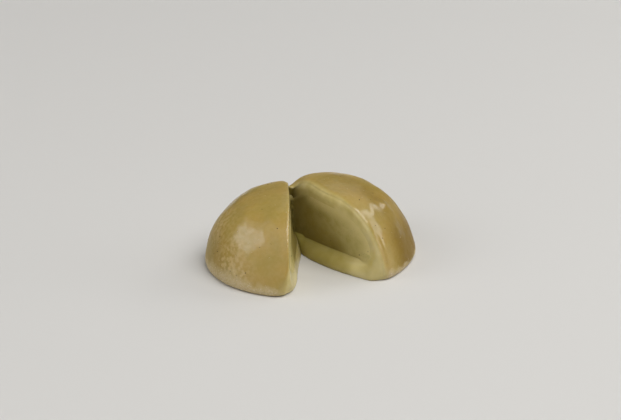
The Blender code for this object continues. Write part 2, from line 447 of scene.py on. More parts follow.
def behind_hinge(points):
    """How far it lies behind that line, or 0 beside the cut."""
    return np.clip(-ahead_of_hinge(points), 0, None)


def hill(distance, width):
    """1 in the middle, and down to about a third at this width."""
    return np.exp(-((distance / width) ** 2))


dough_depth = skin_depth(dough_closed)
print("points in the outer skin:", int((dough_depth < OUTSIDE).sum()), "of", len(dough_depth))

# %% Sizes of the lips, the lean and the foot
LEFT_LIP = 0.0006  # radius with which the outer skin rounds over into the cut
RIGHT_LIP = 0.0032
FRONT_LIP = 0.0018  # the right half's lip is sharper towards the front
FRONT_LIP_ALONG = (-0.006, -0.018)  # where it starts to get sharper, and where it is sharpest
LEFT_CORNER = 0.0085  # the lip's radius at the base
RIGHT_CORNER = 0.0040
CORNER_HEIGHT = 0.0130

DIP = 0.0019  # how far the skin sinks at the top, where the cut ends
DIP_MIDDLE = 0.0003
DIP_LEFT = 0.0013  # the dip's widths to both sides and along the cut
DIP_RIGHT = 0.0028
DIP_LONG = 0.0048
DIP_FULL = 0.85  # share of the height at which the dip is whole

LEFT_LEAN = -0.020  # each cut side leans by this share of its height: below 0 is towards the opening
RIGHT_LEAN = -0.17
LEAN_ALONG = (0.0168, -0.0056)  # where the lean starts, near the end of the cut, and where it is whole
LEFT_DRAWN = 0.0004  # the left lip is also drawn back by this much at the top
DRAWN_HEIGHT = (0.004, 0.024)  # from where to where this grows, upwards and backwards
DRAWN_ALONG = (-0.010, 0.010)
DRAWN_ACROSS = 0.0075

FOOT = 0.0021  # how far the thick base is pressed out of the cut
LEFT_FOOT = 0.0025  # the same on the left side
LEFT_TAPER = 0.25  # share that the left side loses towards the front
RIGHT_BOW = 0.0027  # and how much further in the middle of the right side
FOOT_HEIGHT = 0.0051
FOOT_REACH = 0.0050  # dough this far from the cut is pressed out a third as much
SOFT_HEIGHT = 0.0115  # height of a foot that fades upwards, without a ledge
SOFT_ALONG = (-0.016, -0.024)  # the right foot loses its ledge between these places
FRONT_END = -0.001 - HALF_LENGTH  # the foot narrows to nothing here
LEFT_NARROWING = 0.016  # over this distance
RIGHT_NARROWING = 0.006

WEB = 0.0024  # the foot is thicker by this much where the cut ends, and forms a web between the halves
LEFT_WEB = 0.0012
WEB_REACH = 0.0090
WEB_FRONT = 0.0045  # both feet meet from the end of the cut to here, and less far higher up
WEB_STEEP = 0.5
WEB_FADE = 0.0040
WEB_OVERLAP = 1.05  # the feet are pressed this far into each other, so that no slit stays open
WEB_HEIGHT = 1.15 * FOOT_HEIGHT
WEB_POWER = 6  # a high power gives the web a flat top

print("the foot is pressed out by", 1000 * LEFT_FOOT, "mm on the left and", 1000 * FOOT, "mm on the right")


# %% Round the lips, lean the sides and press out the foot
def lip_radius(points):
    x, y, z = points.T
    to_right = smooth(0.5 + 0.5 * x / np.maximum(behind_hinge(points), 1e-6))
    right_lip = RIGHT_LIP + (FRONT_LIP - RIGHT_LIP) * ramp(y, *FRONT_LIP_ALONG)
    lip = LEFT_LIP + (right_lip - LEFT_LIP) * to_right
    corner = LEFT_CORNER + (RIGHT_CORNER - LEFT_CORNER) * to_right
    return lip + (corner - lip) * np.clip(1 - z / CORNER_HEIGHT, 0, 1) ** 2


def rounded(points):
    """Turns the square corner between the skin and the cut into a round one."""
    x, behind = points[:, 0], behind_hinge(points)
    from_cut = np.hypot(x, behind)
    radius = lip_radius(points)
    corner = np.clip(np.stack([radius - from_cut, radius - skin_depth(points)]), 0, None)
    kept = np.where(corner.min(axis=0) > 0, corner.max(axis=0) / np.maximum(np.hypot(*corner), 1e-9), 1)
    from_side, from_skin = corner * (1 - kept)
    away = np.stack([x, behind, np.zeros_like(x)], axis=1) / np.maximum(from_cut, 1e-9)[:, None]
    return points + away * from_side[:, None] - out_of_skin(points) * from_skin[:, None]


def dip(points):
    """How far a point sinks with the dip in which the cut ends."""
    x, _, z = points.T
    across = hill(x - DIP_MIDDLE, np.where(x < DIP_MIDDLE, DIP_LEFT, DIP_RIGHT))
    return DIP * across * hill(ahead_of_hinge(points), DIP_LONG) * ramp(z, 0, DIP_FULL * HEIGHT)


def foot_push(points, is_dough):
    """How far the thick base is pressed out beside the cut. The paste makes no ledge and no web."""
    x, y, z = points.T
    left = x < 0
    ahead = np.clip(ahead_of_hinge(points), 0, None)
    bow = np.where(left, 0, RIGHT_BOW) * np.sin(math.pi * ahead / (HINGE_BACK + HALF_LENGTH))
    slimmer = np.where(left, LEFT_TAPER, 0) * ramp(ahead, 0, HALF_LENGTH)
    foot = np.where(left, LEFT_FOOT, FOOT) * (1 - slimmer) + bow
    foot += np.where(left, LEFT_WEB, WEB) * hill(ahead, WEB_REACH)
    narrowing = ramp(y, FRONT_END, FRONT_END + np.where(left, LEFT_NARROWING, RIGHT_NARROWING))

    soft = np.where(left, 1.0, ramp(y, *SOFT_ALONG))
    rise = soft * ramp(z, SOFT_HEIGHT, 0)
    if is_dough:
        ledge = np.sqrt(1 - np.clip(z / FOOT_HEIGHT, 0, 1) ** 2)
        rise += (1 - soft) * ledge
    room = np.maximum(ahead * math.tan(SPREAD), 1e-9)  # half the opening
    pressed = (room**-4 + foot**-4) ** -0.25 * rise * narrowing  # the smaller of the two, softly joined

    in_web = 1 - smooth((ahead - WEB_FRONT + WEB_STEEP * z) / WEB_FADE)
    web_top = (1 - np.clip(z / WEB_HEIGHT, 0, 1) ** WEB_POWER) ** (1 / WEB_POWER)
    meeting = WEB_OVERLAP * room * web_top if is_dough else 0
    return (pressed + in_web * (meeting - pressed)) * hill(x, FOOT_REACH)


def opened(points, is_dough):
    """Where points of the closed cake lie once it is cut and opened."""
    start = rounded(points)
    x, y, z = start.T
    side = np.where(x < 0, -1.0, 1.0)
    lean = np.where(side < 0, LEFT_LEAN, RIGHT_LEAN) * z * ramp(y, *LEAN_ALONG)
    drawn = ramp(z, *DRAWN_HEIGHT) * ramp(y, *DRAWN_ALONG) * hill(x, DRAWN_ACROSS)
    lean += np.where(side < 0, LEFT_DRAWN, 0.0) * drawn - foot_push(start, is_dough)
    moved = swung(start, closed_angles, opened_angles)
    moved[:, 2] -= dip(start)
    moved[:, 0] += side * math.cos(SPREAD) * lean
    moved[:, 1] += math.sin(SPREAD) * lean
    return moved


PASTE_DIP = 0.00016  # towards its edge the paste's face slopes back under the dough's
PASTE_SLOPE = 0.0030  # width of that slope
sloped = PASTE_DIP * ramp(paste_depth(filling_closed), PASTE_SLOPE, 0)
filling_closed[:, 0] += np.sign(filling_closed[:, 0]) * sloped
dough_open = opened(dough_closed, is_dough=True)
filling_open = opened(filling_closed, is_dough=False)
outline_middle = 0.5 * (dough_open.min(axis=0) + dough_open.max(axis=0))
measured_middle = 0.5 * (np.array(dough_low) + np.array(dough_high))
to_frame = np.array([*(measured_middle - outline_middle)[:2], 0.0])
move_to(dough, dough_open + to_frame)
move_to(filling, filling_open + to_frame)
print("opened dough, mm:", np.round(1000 * (dough_open.max(axis=0) - dough_open.min(axis=0)), 1))

# %% [markdown]
# ## Soft, uneven surfaces
#
# No hand-made cake is as even as a turned one. The skin swells and dips a little over a centimetre
# or so, and less over a few millimetres. The cut faces are flatter, because a knife made them. Noise
# gives the swells: it is read at each point's place in the closed cake, and it moves the point along
# the surface's own direction.

# %% Knead the surfaces
def noise_at(points, wavelength, seed):
    offset = Vector((seed * 7.31, seed * 3.17, seed * 5.53))
    return np.array([noise.noise(Vector(point) / wavelength + offset) for point in points])


def directions(obj):
    normals = np.empty(3 * len(obj.data.vertices))
    obj.data.vertex_normals.foreach_get("vector", normals)
    return normals.reshape(-1, 3)


def kneaded(closed, waves):
    """How far a sum of (wavelength, height) waves lifts each point."""
    return sum(height * noise_at(closed, length, seed) for seed, (length, height) in enumerate(waves, 1))


def raise_by(obj, rise):
    move_to(obj, points_of(obj) + directions(obj) * rise[:, None])


def patch(closed, middle, size):
    """A round patch: 1 in its middle, and down to about a third at this distance from it."""
    return hill(np.linalg.norm(closed - middle, axis=1), size)


def marked(closed):
    """How far finger marks and the crease lift each point: bumps above 0, dents below."""
    x, y, z = closed.T
    crease = hill(x - CREASE_BESIDE, CREASE_WIDTH) * ramp(y, *CREASE_ALONG)
    crease *= ramp(z, *CREASE_FOOT) * ramp(z, *CREASE_TOP)
    return sum(rise * patch(closed, middle, size) for middle, size, rise in MARKS) - CREASE * crease


def distance_from_cut(points):
    return np.hypot(points[:, 0], behind_hinge(points))


WAVES = [(0.0140, 0.00050), (0.0065, 0.00022), (0.0026, 0.00005)]
CALM = 0.35  # share of the waves that is left on the cut
CALM_REACH = 0.0070  # and the distance from the cut at which they are whole
MARKS = [  # the middle of each finger mark in the closed cake, its radius and its height
    ((0.0150, -0.0160, 0.0207), 0.0019, 0.00052),
    ((0.0058, -0.0188, 0.0210), 0.0030, 0.00020),
    ((-0.0150, -0.0090, 0.0215), 0.0030, 0.00030),
    ((-0.0205, -0.0150, 0.0115), 0.0028, -0.00025),
]
CREASE = 0.00024  # depth of the crease that runs down close beside the right half's lip
CREASE_BESIDE = 0.0021
CREASE_WIDTH = 0.0008
CREASE_ALONG = (-0.019, -0.022)  # it is there in front of these places
CREASE_FOOT = (0.004, 0.007)  # and it fades at both ends, between these heights
CREASE_TOP = (0.0175, 0.0135)
FLAT_BASE = 0.0015  # the underside stays flat: the waves are whole above this height
CUT_DEPTH = (0.0002, 0.0010)  # a point this deep under the skin belongs to the cut face
LIP_SHARE = 0.9  # on the rounded lip the cut face fades into the skin over this share of its radius
LIP_OFFSET = 0.05  # right beside the cut, this much of the lip belongs wholly to the cut face

above_base = ramp(dough_closed[:, 2], 0, FLAT_BASE)
for obj, closed, share in ((dough, dough_closed, above_base), (filling, filling_closed, 1.0)):
    calmed = CALM + (1 - CALM) * smooth(distance_from_cut(closed) / CALM_REACH)
    raise_by(obj, share * calmed * kneaded(closed, WAVES))
raise_by(dough, np.where(dough_depth < CUT_DEPTH[1], marked(dough_closed), 0))
on_lip = 1 - smooth(distance_from_cut(dough_closed) / (LIP_SHARE * lip_radius(dough_closed)) - LIP_OFFSET)
cut_share = np.maximum(ramp(dough_depth, *CUT_DEPTH), on_lip)  # 0 on the outer skin, 1 on the cut face
print("kneaded dough, mm:", [round(1000 * side, 2) for side in dough.dimensions])

# %% [markdown]
# ## Where the starch lies
#
# The worker rolls the cakes in starch, and most of it is brushed off again. It stays round the foot,
# in a band with a ragged upper edge, higher on the left half. One number at each point says how much
# lies there. The dough's finish reads it as a pale film, and the loose grains are sown where it is
# high.

# %% Store how much starch lies at each point
def store(obj, name, values):
    layer = obj.data.attributes.new(name, "FLOAT", "POINT")
    layer.data.foreach_set("value", np.asarray(values, np.float32))


BAND_TOP = 0.0034  # height of the starch band on the right half
BAND_LEFT = 0.0028  # how much higher it reaches on the left half
BAND_RAGGED = 0.0030  # how far its upper edge goes up and down
BAND_WHOLE = 0.35  # the starch thins out above this share of the band's height
THINNEST_FADE = 0.0006

across, along, height = dough_closed.T
left = across < 0
to_left = ramp(across, OFF_CENTRE, OFF_CENTRE - 0.02)
ragged = noise_at(dough_closed, 0.0060, 11) + 0.5 * noise_at(dough_closed, 0.0022, 12)
band_top = BAND_TOP + BAND_LEFT * to_left + BAND_RAGGED * ragged
fade = np.maximum((1 - BAND_WHOLE) * band_top, THINNEST_FADE)
starch_share = (1 - smooth((height - BAND_WHOLE * band_top) / fade)) * (1 - cut_share)
store(dough, "cut_share", cut_share)
store(dough, "starch_share", starch_share)
print("mean starch share:", round(float(starch_share.mean()), 3))

# %% [markdown]
# ## Dry and pale places, and painted shade
#
# The dough isn't the same all over. Its sides and back have dried in the air: they are dull. The
# sides are also painted darker and deeper in colour, most of all low down: that is painted shade. The
# right half's flank is dull too, and so is its cut, except at the front. A few patches, most of them
# on the left half, are paler: some are starch stuck to the dough, and two are painted light. The
# dough that the knife has opened is greener near the end of the cut, and darker there as painted
# shade, and painted shade also darkens it where the opening is narrow. Five numbers at each point
# say this, and the finish turns them into colour and shine.
#
# A pair of values says where something starts and where it is whole. The first is the higher one
# where it grows downwards, forwards or to the left.

# %% Store the dry and pale places of the dough, and its painted shade
LEFT_SIDE = (-0.018, -0.024)  # across the closed cake
RIGHT_SIDE = (0.0035, 0.0125)
RIGHT_DRY = (0.0128, 0.0188)
RIGHT_FLANK = (0.002, 0.008)
LEFT_FRONT = (-0.016, -0.010)
BACK = (0.002, 0.014)  # along it
DULL_LIP = (-0.016, -0.010)
SIDE_SHADE_FADES_BACK = (-0.012, 0.006)
LOW_ON_FLANK = (0.014, 0.009)  # and up it
LOW_ON_FRONT = (0.017, 0.012)
SIDE_SHADE_FADES_UP = (0.010, 0.018)
GREEN_FADES_UP = (0.006, 0.011)
DRY_LOSS = 0.92  # share of the shine that is gone where the dough is dry
FRONT_LOSS = 0.5  # and what of that holds low on the front of the left half
SIDE_SHADE_LEFT = 0.35  # how strongly painted shade darkens the sides of each half
SIDE_SHADE_RIGHT = 0.95
SIDE_SHADE_LOSS_UP = 0.55  # share of the painted side shade that is gone above, and at the back
SIDE_SHADE_LOSS_BACK = 0.9
# The first three pale patches are starch stuck to the left half. The wide fourth, high on the left half, and
# the last, on the top of the right half's foot, are painted light.
PALE_PATCHES = [  # the middle of each pale patch in the closed cake, and its radius
    ((-0.0195, -0.0165, 0.0120), 0.0045),
    ((-0.0168, -0.0212, 0.0060), 0.0040),
    ((-0.0215, -0.0160, 0.0075), 0.0035),
    ((-0.0235, -0.0040, 0.0165), 0.0060),
    ((0.0004, -0.0175, 0.0030), 0.0030),
]
GREEN_REACH = 0.032  # how far the greener dough, darkened by painted shade, reaches from the end of the cut
GREEN_LEFT = 0.1  # share of it that the left half has
GREEN_LOSS_UP = 0.9  # share that is gone above
LEFT_SHADE_AHEAD = (0.020, 0.032)  # the left half's painted shade gets weaker between these distances ahead
LEFT_SHADE_LOSS = 0.4  # by this share
RIGHT_SHADE_REACH = 0.0035  # and the right half's reaches only this far
SHADE_GROWS = 0.0045  # height over which the shade grows, from where it starts on each half
LEFT_SHADE_LOW = 0.0085
RIGHT_SHADE_LOW = 0.0065
INSIDE = (0.0001, 0.0007)  # it lies on the cut face, this deep under the skin


def moist_share():
    """How much the dough shines: not where it has dried, nor on the right half's cut."""
    side = np.where(left, ramp(across, *LEFT_SIDE), ramp(across, *RIGHT_DRY))
    flank = ramp(across, *RIGHT_FLANK) * ramp(height, *LOW_ON_FLANK)
    front = np.where(left, ramp(across, *LEFT_FRONT), 0) * ramp(height, *LOW_ON_FRONT)
    dry = np.max([side, ramp(along, *BACK), flank, FRONT_LOSS * front], axis=0)
    dull_lip = np.where(across > 0, ramp(along, *DULL_LIP), 0) * (1 - (1 - cut_share) ** 2)
    return (1 - DRY_LOSS * dry) * (1 - dull_lip)


def side_share():
    """How much painted shade darkens the dough: most on the sides, less towards the top and the back."""
    side = np.where(left, SIDE_SHADE_LEFT * ramp(across, *LEFT_SIDE), SIDE_SHADE_RIGHT * ramp(across, *RIGHT_SIDE))
    above, behind = ramp(height, *SIDE_SHADE_FADES_UP), ramp(along, *SIDE_SHADE_FADES_BACK)
    return side * (1 - SIDE_SHADE_LOSS_UP * above) * (1 - SIDE_SHADE_LOSS_BACK * behind)


def hinge_share():
    """How much greener the opened dough is, and darker by painted shade: most low down, near the end of the
    cut.
    """
    low = 1 - GREEN_LOSS_UP * ramp(height, *GREEN_FADES_UP)
    return np.where(left, GREEN_LEFT, 1.0) * low * hill(ahead_of_hinge(dough_closed), GREEN_REACH)


def shade_share():
    """Painted shade from the opening: on the left cut face, and at the very end of the right one."""
    ahead = ahead_of_hinge(dough_closed)
    left_shade = 1 - LEFT_SHADE_LOSS * ramp(ahead, *LEFT_SHADE_AHEAD)
    shade = np.where(left, left_shade, hill(ahead, RIGHT_SHADE_REACH))
    start = np.where(left, LEFT_SHADE_LOW, RIGHT_SHADE_LOW)
    return shade * ramp(height, start, start + SHADE_GROWS) * ramp(dough_depth, *INSIDE) * cut_share


pale = sum(patch(dough_closed, middle, size) for middle, size in PALE_PATCHES)
store(dough, "moist_share", moist_share())
store(dough, "side_share", side_share())
store(dough, "pale_share", np.clip(pale, 0, 1))
store(dough, "hinge_share", hinge_share())
store(dough, "shade_share", shade_share())
# The second figure is the mean painted shade on the dough's sides.
print("pale dough:", round(float(pale.mean()), 3), "dough in painted side shade:", round(float(side_share().mean()), 3))

# %% [markdown]
# ## Where the paste looks like dough
#
# The cut shows no line between paste and dough. They blend over a few millimetres, because the knife
# smears one over the other. So the paste takes on the dough's colour towards its upper edge, and low
# at its front. Near the end of the cut and just above the foot's ledge it is painted a darker green,
# as shade, and a darker painted shade lies in the same two places.

# %% Store the blended places of the paste, and its painted shade
EDGE_BLEND = 0.0030  # width over which the paste blends with the dough
WIDE_BLEND = 0.0085  # the same away from the end of the cut
WIDE_AHEAD = (0.004, 0.012)  # it gets this wide between these distances from the end
FRONT_BLEND = 0.7  # how far the paste takes on the dough's colour low at its front
FRONT_BLEND_ALONG = (-0.012, -0.020)
FRONT_BLEND_HEIGHT = (BASE_SKIN + 0.003, BASE_SKIN)
DARK_GREEN_REACH = 0.025  # how far the darker green painted shade reaches from the end of the cut
LEDGE_REACH = 0.0050  # and from the ledge of the foot
LEDGE_ALONG = (-0.014, -0.004)
LEDGE_DARK_GREEN = 0.9
# How strong the darkest painted shade is above the ledge and at the end of the cut.
LEDGE_SHADE = 0.40
HINGE_SHADE = 0.35
HINGE_SHADE_REACH = 0.006

paste_along, paste_height = filling_closed[:, 1], filling_closed[:, 2]
paste_ahead, paste_edge = ahead_of_hinge(filling_closed), paste_depth(filling_closed)
blur = 0.0004 * noise_at(filling_closed, 0.0040, 13) + 0.0002 * noise_at(filling_closed, 0.0012, 14)
upper_edge = ramp(paste_edge + blur, EDGE_BLEND, 0)
wide_edge = ramp(paste_edge, WIDE_BLEND, 0) * ramp(paste_ahead, *WIDE_AHEAD)
front_low = ramp(paste_along, *FRONT_BLEND_ALONG) * ramp(paste_height, *FRONT_BLEND_HEIGHT)
store(filling, "dough_share", np.max([upper_edge, wide_edge, FRONT_BLEND * front_low], axis=0))

# Painted shade on the paste: a darker green near the end of the cut and above the foot's ledge.
in_the_hinge = hill(HINGE_BACK - paste_along, DARK_GREEN_REACH)
above_ledge = hill(paste_height - BASE_SKIN, LEDGE_REACH) * ramp(paste_along, *LEDGE_ALONG)
paste_shade = np.maximum(HINGE_SHADE * hill(paste_ahead, HINGE_SHADE_REACH), LEDGE_SHADE * above_ledge)
# On the paste, the first share stored below carries painted shade, not moisture.
store(filling, "moist_share", np.clip(in_the_hinge + LEDGE_DARK_GREEN * above_ledge, 0, 1))
store(filling, "shade_share", paste_shade)
print("share of the paste that looks like dough:", round(float(upper_edge.mean()), 3))

# %% [markdown]
# ## The finish of the rice dough
#
# Pounded rice is moist and a little see-through. Light goes in, spreads a millimetre or two, and
# comes out warmer, which softens every edge. The green tea in it has turned golden on the outer skin,
# and it stays paler and greener where the knife has just opened it. Starch makes it pale and dull. So
# the finish mixes one colour after another, by the numbers stored on the mesh and by noise. Some of
# them are painted shade and light: the darker sides, the darker dough near the end of the cut and
# deep in the opening, and two pale patches. It scatters light under the surface, and a clear coat
# gives the shine of the moist places.

# %% Colours and a helper for noise in a finish
def screen_colour(red, green, blue):
    """A colour as it looks on a screen, from 0 to 255, as the linear values that Blender takes."""
    shares = [value / 255 for value in (red, green, blue)]
    return [c / 12.92 if c <= 0.04045 else ((c + 0.055) / 1.055) ** 2.4 for c in shares] + [1.0]


SHINE = 0.18  # specular level: wet starch gel reflects less than glass or lacquer


def new_finish(name, colour, roughness):
    finish = bpy.data.materials.new(name)
    finish.use_nodes = True
    finish.diffuse_color = colour
    shader = finish.node_tree.nodes["Principled BSDF"]
    shader.inputs["Base Color"].default_value = colour
    shader.inputs["Roughness"].default_value = roughness
    shader.inputs["Specular IOR Level"].default_value = SHINE
    return finish, finish.node_tree, shader


def noise_in(tree, wavelength, detail=2.0, low=0.35, high=0.65):
    """Noise of this wavelength over the surface, stretched so that it runs from 0 to 1."""
    place = add_node(tree, "ShaderNodeTexCoord")
    values = {"Vector": place.outputs["Object"], "Scale": 1 / wavelength, "Detail": detail}
    raw = add_node(tree, "ShaderNodeTexNoise", values)
    return stretched(tree, raw.outputs[0], low, high)


def stretched(tree, value, low, high, to_low=0.0, to_high=1.0):
    values = {"Value": value, "From Min": low, "From Max": high, "To Min": to_low, "To Max": to_high}
    return add_node(tree, "ShaderNodeMapRange", values, clamp=True).outputs[0]


def blended(tree, share, first, second):
    """The first colour where share is 0, the second where it is 1."""
    # Mix has several sockets with the same names, so the colour ones are picked by their places.
    mix = add_node(tree, "ShaderNodeMix", {0: share, 6: first, 7: second}, data_type="RGBA")
    return mix.outputs[2]


def stored(tree, name):
    return add_node(tree, "ShaderNodeAttribute", attribute_name=name).outputs["Fac"]


def times(tree, first, second):
    return sum_of(tree, "MULTIPLY", first, second)


def bumped(tree, shader, height, distance):
    bump = add_node(tree, "ShaderNodeBump", {"Height": height, "Distance": distance, "Strength": 1.0})
    tree.links.new(bump.outputs[0], shader.inputs["Normal"])


def scattering(shader, weight, reach, scale):
    """Light spreads under the surface: red furthest, blue least, over this many metres."""
    shader.inputs["Subsurface Weight"].default_value = weight
    shader.inputs["Subsurface Radius"].default_value = reach
    shader.inputs["Subsurface Scale"].default_value = scale


# %% Rice dough
GOLDEN = screen_colour(179, 150, 77)  # the skin, in two tones
OLIVE = screen_colour(169, 146, 73)
MILKY = screen_colour(200, 174, 116)  # its pale patches, two of them painted light, and its speckles
SIDE_SHADE_COLOUR = screen_colour(128, 100, 18)  # its darker sides: painted shade
FRESH = screen_colour(213, 196, 134)  # dough that the knife has opened, in two tones
FRESH_DARK = screen_colour(193, 175, 106)
FRESH_GREEN_SHADED = screen_colour(134, 124, 44)  # near the end of the cut: greener, and darker as painted shade
# The pale patch on the top of the right half's foot is painted light.
FRESH_PALE = screen_colour(224, 210, 148)
SHADED = screen_colour(96, 82, 26)  # painted shade deep in the opening
STARCHY = screen_colour(204, 186, 146)
SPECKLE_EVERYWHERE = 0.14  # how milky the speckles are
SPECKLE_IN_PATCHES = 0.85  # and how much more in the pale patches
GREENER_AND_SHADED = 0.7  # how far the fresh colour goes towards the greener one, darkened by painted shade
PALER = 0.7  # and towards the paler one, a painted light
STARCH_DULLS = 0.5  # roughness that the starch adds
BUMP_HEIGHT = 0.00012
FINE_BUMP = 0.45  # share of that height on bare dough; the starch adds its own grain
COAT_ROUGHNESS = 0.14
COAT_IOR = 1.65


def skin_colour(tree):
    skin = blended(tree, noise_in(tree, 0.0090), GOLDEN, OLIVE)
    # Painted shade darkens the sides.
    skin = blended(tree, stored(tree, "side_share"), skin, SIDE_SHADE_COLOUR)
    speckled = noise_in(tree, 0.0013, detail=4.0, low=0.40, high=0.62)
    pale = stored(tree, "pale_share")
    milky = sum_of(tree, "MULTIPLY_ADD", pale, SPECKLE_IN_PATCHES, SPECKLE_EVERYWHERE)
    not_side_shaded = sum_of(tree, "SUBTRACT", 1.0, stored(tree, "side_share"))
    return blended(tree, times(tree, speckled, times(tree, milky, not_side_shaded)), skin, MILKY)


def cut_colour(tree):
    fresh = blended(tree, noise_in(tree, 0.0060), FRESH, FRESH_DARK)
    # Greener near the end of the cut, and darker there as painted shade.
    fresh = blended(tree, times(tree, stored(tree, "hinge_share"), GREENER_AND_SHADED), fresh, FRESH_GREEN_SHADED)
    # A painted light on the top of the right half's foot.
    return blended(tree, times(tree, stored(tree, "pale_share"), PALER), fresh, FRESH_PALE)


def rice_dough_finish():
    finish, tree, shader = new_finish("rice_dough_finish", GOLDEN, 0.3)
    colour = blended(tree, stored(tree, "cut_share"), skin_colour(tree), cut_colour(tree))
    # Painted shade where the opening is narrow.
    colour = blended(tree, stored(tree, "shade_share"), colour, SHADED)
    patchy = stretched(tree, noise_in(tree, 0.0007, detail=3.0, low=0.30, high=0.60), 0, 1, 0.45, 0.95)
    powder = times(tree, stored(tree, "starch_share"), patchy)
    tree.links.new(blended(tree, powder, colour, STARCHY), shader.inputs["Base Color"])

    gloss = stretched(tree, noise_in(tree, 0.0040), 0, 1, 0.38, 0.48)
    dulled = sum_of(tree, "MULTIPLY_ADD", powder, STARCH_DULLS, gloss)
    tree.links.new(dulled, shader.inputs["Roughness"])
    fine = times(tree, noise_in(tree, 0.0012, detail=4.0, low=0.0, high=1.0), FINE_BUMP)
    grainy = times(tree, noise_in(tree, 0.0004, low=0.0, high=1.0), powder)
    bumped(tree, shader, sum_of(tree, "ADD", fine, grainy), BUMP_HEIGHT)

    mottled = stretched(tree, noise_in(tree, 0.0016, detail=3.0, low=0.42, high=0.60), 0, 1, 0.72, 1.0)
    bare = sum_of(tree, "SUBTRACT", 1.0, powder)
    wet = times(tree, times(tree, mottled, bare), stored(tree, "moist_share"))
    tree.links.new(wet, shader.inputs["Coat Weight"])
    shader.inputs["Coat Roughness"].default_value = COAT_ROUGHNESS
    shader.inputs["Coat IOR"].default_value = COAT_IOR
    scattering(shader, 0.30, (1.0, 0.80, 0.45), 0.0014)
    return finish


dough.data.materials.clear()
dough.data.materials.append(rice_dough_finish())
dough.data.shade_smooth()
print("finish:", dough.data.materials[0].name)

# %% [markdown]
# ## The finish of the green tea paste
#
# The paste is boiled white beans, pressed through a sieve and stirred with sugar and tea. It is dull,
# greyer and greener than the dough, and very finely grained. Mottling in two greens, dark specks too
# small to model, and a fine bump are enough. Where it blends with the dough, it has the dough's
# colour. Two darker colours on top of that are painted shade.

# %% Green tea paste
PASTE_PALE = screen_colour(202, 187, 127)
PASTE_GREEN = screen_colour(184, 170, 105)
PASTE_SPECK = screen_colour(120, 108, 58)
# A darker green for the paste's painted shade.
PASTE_IN_SHADE = screen_colour(134, 116, 40)
SPECK_STRENGTH = 0.5  # how far each of these goes where it is strongest
PASTE_SHADE_STRENGTH = 0.68
DOUGH_STRENGTH = 0.9
PASTE_BUMP = 0.00014


def green_tea_paste_finish():
    finish, tree, shader = new_finish("green_tea_paste_finish", PASTE_PALE, 0.62)
    paste = blended(tree, noise_in(tree, 0.0032, detail=4.0), PASTE_PALE, PASTE_GREEN)
    specks = noise_in(tree, 0.0005, detail=1.0, low=0.66, high=0.76)
    paste = blended(tree, times(tree, specks, SPECK_STRENGTH), paste, PASTE_SPECK)
    # Painted shade: a darker green near the end of the cut and above the ledge.
    paste = blended(tree, times(tree, stored(tree, "moist_share"), PASTE_SHADE_STRENGTH), paste, PASTE_IN_SHADE)
    paste = blended(tree, times(tree, stored(tree, "dough_share"), DOUGH_STRENGTH), paste, FRESH)
    # Painted shade, darker still.
    paste = blended(tree, stored(tree, "shade_share"), paste, SHADED)
    tree.links.new(paste, shader.inputs["Base Color"])
    bumped(tree, shader, noise_in(tree, 0.0006, detail=5.0, low=0.2, high=0.8), PASTE_BUMP)
    scattering(shader, 0.15, (1.0, 0.75, 0.35), 0.0012)
    return finish


filling.data.materials.clear()
filling.data.materials.append(green_tea_paste_finish())
filling.data.shade_smooth()
print("finish:", filling.data.materials[0].name)

# %% [markdown]
# ## Sowing grains
#
# Starch grains and flecks of leaf both repeat by the hundred over a surface, so one tree sows them.
# It throws points over the host's faces, more where a stored number is higher, and puts a small lump
# at each, turned and stretched at random. The tree ends by making the lumps real and giving them
# their material, and the result is kept as a plain mesh of the lumps alone.

